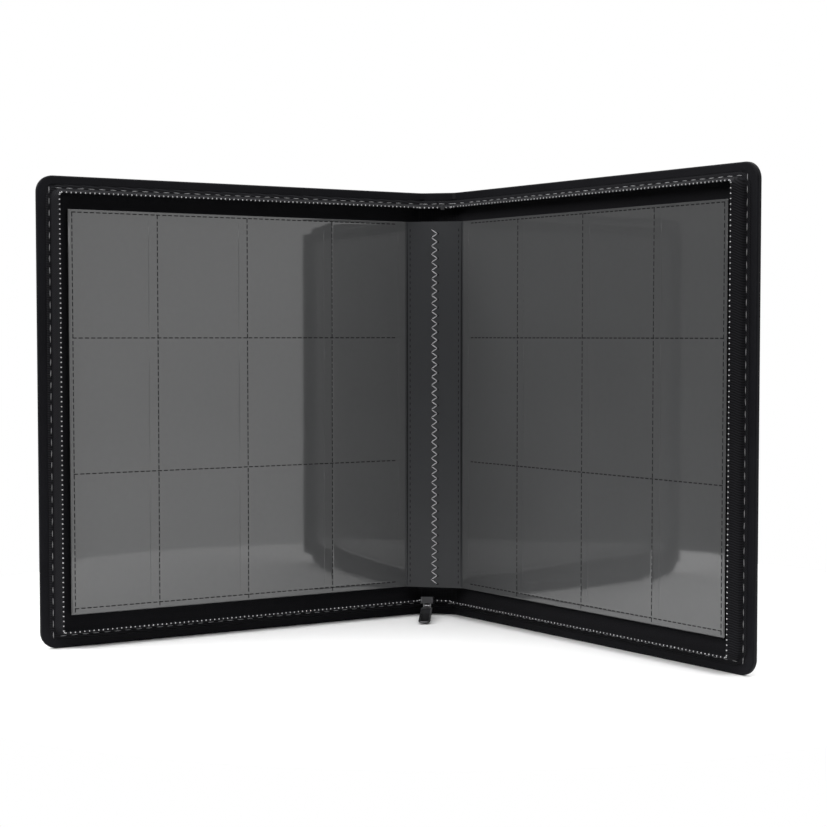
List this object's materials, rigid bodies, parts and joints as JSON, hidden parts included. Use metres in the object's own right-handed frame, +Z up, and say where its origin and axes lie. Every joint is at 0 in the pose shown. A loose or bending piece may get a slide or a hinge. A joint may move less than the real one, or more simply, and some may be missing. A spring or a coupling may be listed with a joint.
{
  "type": "trading card binder",
  "caption": "Zip-round binder for trading cards, standing open, with two stiff cloth covers and clear side-loading pocket leaves sewn at the spine.",
  "frame": {"origin": "foot of the spine, in the middle of its width and thickness", "axes": "+X from the front cover to the back cover, +Y from the reader to the spine, +Z up"},
  "size_m": [0.5062, 0.2153, 0.34],
  "materials": {
    "outer_cloth": "matt woven polyester",
    "lining_cloth": "matt woven lining",
    "edge_binding": "smooth satin edge tape",
    "board": "grey stiffener board",
    "pad": "padded strip",
    "sheet_core": "black sheet bonded under clear film",
    "leaf_film": "clear glossy film over a black core",
    "thread": "pale grey thread",
    "zip_tape": "woven zip tape",
    "zip_coil": "glossy nylon coil",
    "slider_metal": "gunmetal lacquer",
    "tab_metal": "gunmetal lacquer with a worn rim"
  },
  "bodies": {
    "spine": {"spine_lining": "lining_cloth", "spine_board": "board", "spine_outer": "outer_cloth", "spine_edge_binding": "edge_binding", "binding_pad": "pad", "sheet_centres": "sheet_core", "saddle_stitch": "thread", "spine_zip_tape": "zip_tape", "spine_zip_coil": "zip_coil", "zip_stop": "slider_metal", "front_hinge_cloth": "outer_cloth", "back_hinge_cloth": "outer_cloth", "front_zip_corners": "zip_tape", "back_zip_corners": "zip_tape", "left_sheet_gutters": "sheet_core", "right_sheet_gutters": "sheet_core"},
    "front_cover": {"front_lining": "lining_cloth", "front_board": "board", "front_outer": "outer_cloth", "front_edge_binding": "edge_binding", "front_zip_tape_top": "zip_tape", "front_zip_tape_side": "zip_tape", "front_zip_tape_bottom": "zip_tape", "front_zip_coil": "zip_coil"},
    "back_cover": {"back_lining": "lining_cloth", "back_board": "board", "back_outer": "outer_cloth", "back_edge_binding": "edge_binding", "back_zip_tape_top": "zip_tape", "back_zip_tape_side": "zip_tape", "back_zip_tape_bottom": "zip_tape", "back_zip_coil": "zip_coil"},
    "left_leaf_01_body": {"left_leaf_01": "leaf_film"},
    "left_leaf_02_body": {"left_leaf_02": "leaf_film"},
    "left_leaf_03_body": {"left_leaf_03": "leaf_film"},
    "left_leaf_04_body": {"left_leaf_04": "leaf_film"},
    "left_leaf_05_body": {"left_leaf_05": "leaf_film"},
    "left_leaf_06_body": {"left_leaf_06": "leaf_film"},
    "left_leaf_07_body": {"left_leaf_07": "leaf_film"},
    "left_leaf_08_body": {"left_leaf_08": "leaf_film"},
    "left_leaf_09_body": {"left_leaf_09": "leaf_film"},
    "left_leaf_10_body": {"left_leaf_10": "leaf_film"},
    "right_leaf_01_body": {"right_leaf_01": "leaf_film"},
    "right_leaf_02_body": {"right_leaf_02": "leaf_film"},
    "right_leaf_03_body": {"right_leaf_03": "leaf_film"},
    "right_leaf_04_body": {"right_leaf_04": "leaf_film"},
    "right_leaf_05_body": {"right_leaf_05": "leaf_film"},
    "right_leaf_06_body": {"right_leaf_06": "leaf_film"},
    "right_leaf_07_body": {"right_leaf_07": "leaf_film"},
    "right_leaf_08_body": {"right_leaf_08": "leaf_film"},
    "right_leaf_09_body": {"right_leaf_09": "leaf_film"},
    "right_leaf_10_body": {"right_leaf_10": "leaf_film"},
    "slider": {"slider_body": "slider_metal", "slider_bail": "slider_metal"},
    "tab": {"pull_tab": "tab_metal"}
  },
  "joints": [
    {"name": "front_cover_hinge", "type": "hinge", "parent": "spine", "child": "front_cover", "pos_m": [-0.0133, -0.0016, 0.17], "axis": [0, 0, 1], "range_deg": [-41.38, 48.62], "deforming": ["front_hinge_cloth", "front_zip_corners", "left_sheet_gutters"]},
    {"name": "back_cover_hinge", "type": "hinge", "parent": "spine", "child": "back_cover", "pos_m": [0.0133, -0.0016, 0.17], "axis": [0, 0, 1], "range_deg": [-48.62, 41.38], "deforming": ["back_hinge_cloth", "back_zip_corners", "right_sheet_gutters"]},
    {"name": "left_leaf_01_turn", "type": "hinge", "parent": "front_cover", "child": "left_leaf_01_body", "pos_m": [-0.0232, -0.01832, 0.17], "axis": [0, 0, 1], "range_deg": [0, 90]},
    {"name": "left_leaf_02_turn", "type": "hinge", "parent": "front_cover", "child": "left_leaf_02_body", "pos_m": [-0.02341, -0.01777, 0.17], "axis": [0, 0, 1], "range_deg": [0, 82]},
    {"name": "left_leaf_03_turn", "type": "hinge", "parent": "front_cover", "child": "left_leaf_03_body", "pos_m": [-0.02362, -0.01722, 0.17], "axis": [0, 0, 1], "range_deg": [0, 73]},
    {"name": "left_leaf_04_turn", "type": "hinge", "parent": "front_cover", "child": "left_leaf_04_body", "pos_m": [-0.02382, -0.01667, 0.17], "axis": [0, 0, 1], "range_deg": [0, 64]},
    {"name": "left_leaf_05_turn", "type": "hinge", "parent": "front_cover", "child": "left_leaf_05_body", "pos_m": [-0.02403, -0.01612, 0.17], "axis": [0, 0, 1], "range_deg": [0, 55]},
    {"name": "left_leaf_06_turn", "type": "hinge", "parent": "front_cover", "child": "left_leaf_06_body", "pos_m": [-0.02424, -0.01557, 0.17], "axis": [0, 0, 1], "range_deg": [0, 46]},
    {"name": "left_leaf_07_turn", "type": "hinge", "parent": "front_cover", "child": "left_leaf_07_body", "pos_m": [-0.02445, -0.01502, 0.17], "axis": [0, 0, 1], "range_deg": [0, 37]},
    {"name": "left_leaf_08_turn", "type": "hinge", "parent": "front_cover", "child": "left_leaf_08_body", "pos_m": [-0.02465, -0.01447, 0.17], "axis": [0, 0, 1], "range_deg": [0, 28]},
    {"name": "left_leaf_09_turn", "type": "hinge", "parent": "front_cover", "child": "left_leaf_09_body", "pos_m": [-0.02486, -0.01392, 0.17], "axis": [0, 0, 1], "range_deg": [0, 19]},
    {"name": "left_leaf_10_turn", "type": "hinge", "parent": "front_cover", "child": "left_leaf_10_body", "pos_m": [-0.02507, -0.01337, 0.17], "axis": [0, 0, 1], "range_deg": [0, 10]},
    {"name": "right_leaf_01_turn", "type": "hinge", "parent": "back_cover", "child": "right_leaf_01_body", "pos_m": [0.0232, -0.01832, 0.17], "axis": [0, 0, 1], "range_deg": [-90, 0]},
    {"name": "right_leaf_02_turn", "type": "hinge", "parent": "back_cover", "child": "right_leaf_02_body", "pos_m": [0.02341, -0.01777, 0.17], "axis": [0, 0, 1], "range_deg": [-82, 0]},
    {"name": "right_leaf_03_turn", "type": "hinge", "parent": "back_cover", "child": "right_leaf_03_body", "pos_m": [0.02362, -0.01722, 0.17], "axis": [0, 0, 1], "range_deg": [-73, 0]},
    {"name": "right_leaf_04_turn", "type": "hinge", "parent": "back_cover", "child": "right_leaf_04_body", "pos_m": [0.02382, -0.01667, 0.17], "axis": [0, 0, 1], "range_deg": [-64, 0]},
    {"name": "right_leaf_05_turn", "type": "hinge", "parent": "back_cover", "child": "right_leaf_05_body", "pos_m": [0.02403, -0.01612, 0.17], "axis": [0, 0, 1], "range_deg": [-55, 0]},
    {"name": "right_leaf_06_turn", "type": "hinge", "parent": "back_cover", "child": "right_leaf_06_body", "pos_m": [0.02424, -0.01557, 0.17], "axis": [0, 0, 1], "range_deg": [-46, 0]},
    {"name": "right_leaf_07_turn", "type": "hinge", "parent": "back_cover", "child": "right_leaf_07_body", "pos_m": [0.02445, -0.01502, 0.17], "axis": [0, 0, 1], "range_deg": [-37, 0]},
    {"name": "right_leaf_08_turn", "type": "hinge", "parent": "back_cover", "child": "right_leaf_08_body", "pos_m": [0.02465, -0.01447, 0.17], "axis": [0, 0, 1], "range_deg": [-28, 0]},
    {"name": "right_leaf_09_turn", "type": "hinge", "parent": "back_cover", "child": "right_leaf_09_body", "pos_m": [0.02486, -0.01392, 0.17], "axis": [0, 0, 1], "range_deg": [-19, 0]},
    {"name": "right_leaf_10_turn", "type": "hinge", "parent": "back_cover", "child": "right_leaf_10_body", "pos_m": [0.02507, -0.01337, 0.17], "axis": [0, 0, 1], "range_deg": [-10, 0]},
    {"name": "slider_slide", "type": "slide", "parent": "spine", "child": "slider", "axis": [1, 0, 0], "range_m": [-0.001, 0.009]},
    {"name": "pull_tab_swing", "type": "hinge", "parent": "slider", "child": "tab", "pos_m": [-0.00627, -0.01516, 0.00826], "axis": [0.9917, 0.1288, 0], "range_deg": [-30, 100]}
  ],
  "couplings": [
    {"joint": "left_leaf_02_turn", "follows": "left_leaf_01_turn", "ratio": 0.9},
    {"joint": "left_leaf_03_turn", "follows": "left_leaf_01_turn", "ratio": 0.8},
    {"joint": "left_leaf_04_turn", "follows": "left_leaf_01_turn", "ratio": 0.7},
    {"joint": "left_leaf_05_turn", "follows": "left_leaf_01_turn", "ratio": 0.6},
    {"joint": "left_leaf_06_turn", "follows": "left_leaf_01_turn", "ratio": 0.5},
    {"joint": "left_leaf_07_turn", "follows": "left_leaf_01_turn", "ratio": 0.4},
    {"joint": "left_leaf_08_turn", "follows": "left_leaf_01_turn", "ratio": 0.3},
    {"joint": "left_leaf_09_turn", "follows": "left_leaf_01_turn", "ratio": 0.2},
    {"joint": "left_leaf_10_turn", "follows": "left_leaf_01_turn", "ratio": 0.1},
    {"joint": "right_leaf_02_turn", "follows": "right_leaf_01_turn", "ratio": 0.9},
    {"joint": "right_leaf_03_turn", "follows": "right_leaf_01_turn", "ratio": 0.8},
    {"joint": "right_leaf_04_turn", "follows": "right_leaf_01_turn", "ratio": 0.7},
    {"joint": "right_leaf_05_turn", "follows": "right_leaf_01_turn", "ratio": 0.6},
    {"joint": "right_leaf_06_turn", "follows": "right_leaf_01_turn", "ratio": 0.5},
    {"joint": "right_leaf_07_turn", "follows": "right_leaf_01_turn", "ratio": 0.4},
    {"joint": "right_leaf_08_turn", "follows": "right_leaf_01_turn", "ratio": 0.3},
    {"joint": "right_leaf_09_turn", "follows": "right_leaf_01_turn", "ratio": 0.2},
    {"joint": "right_leaf_10_turn", "follows": "right_leaf_01_turn", "ratio": 0.1}
  ]
}
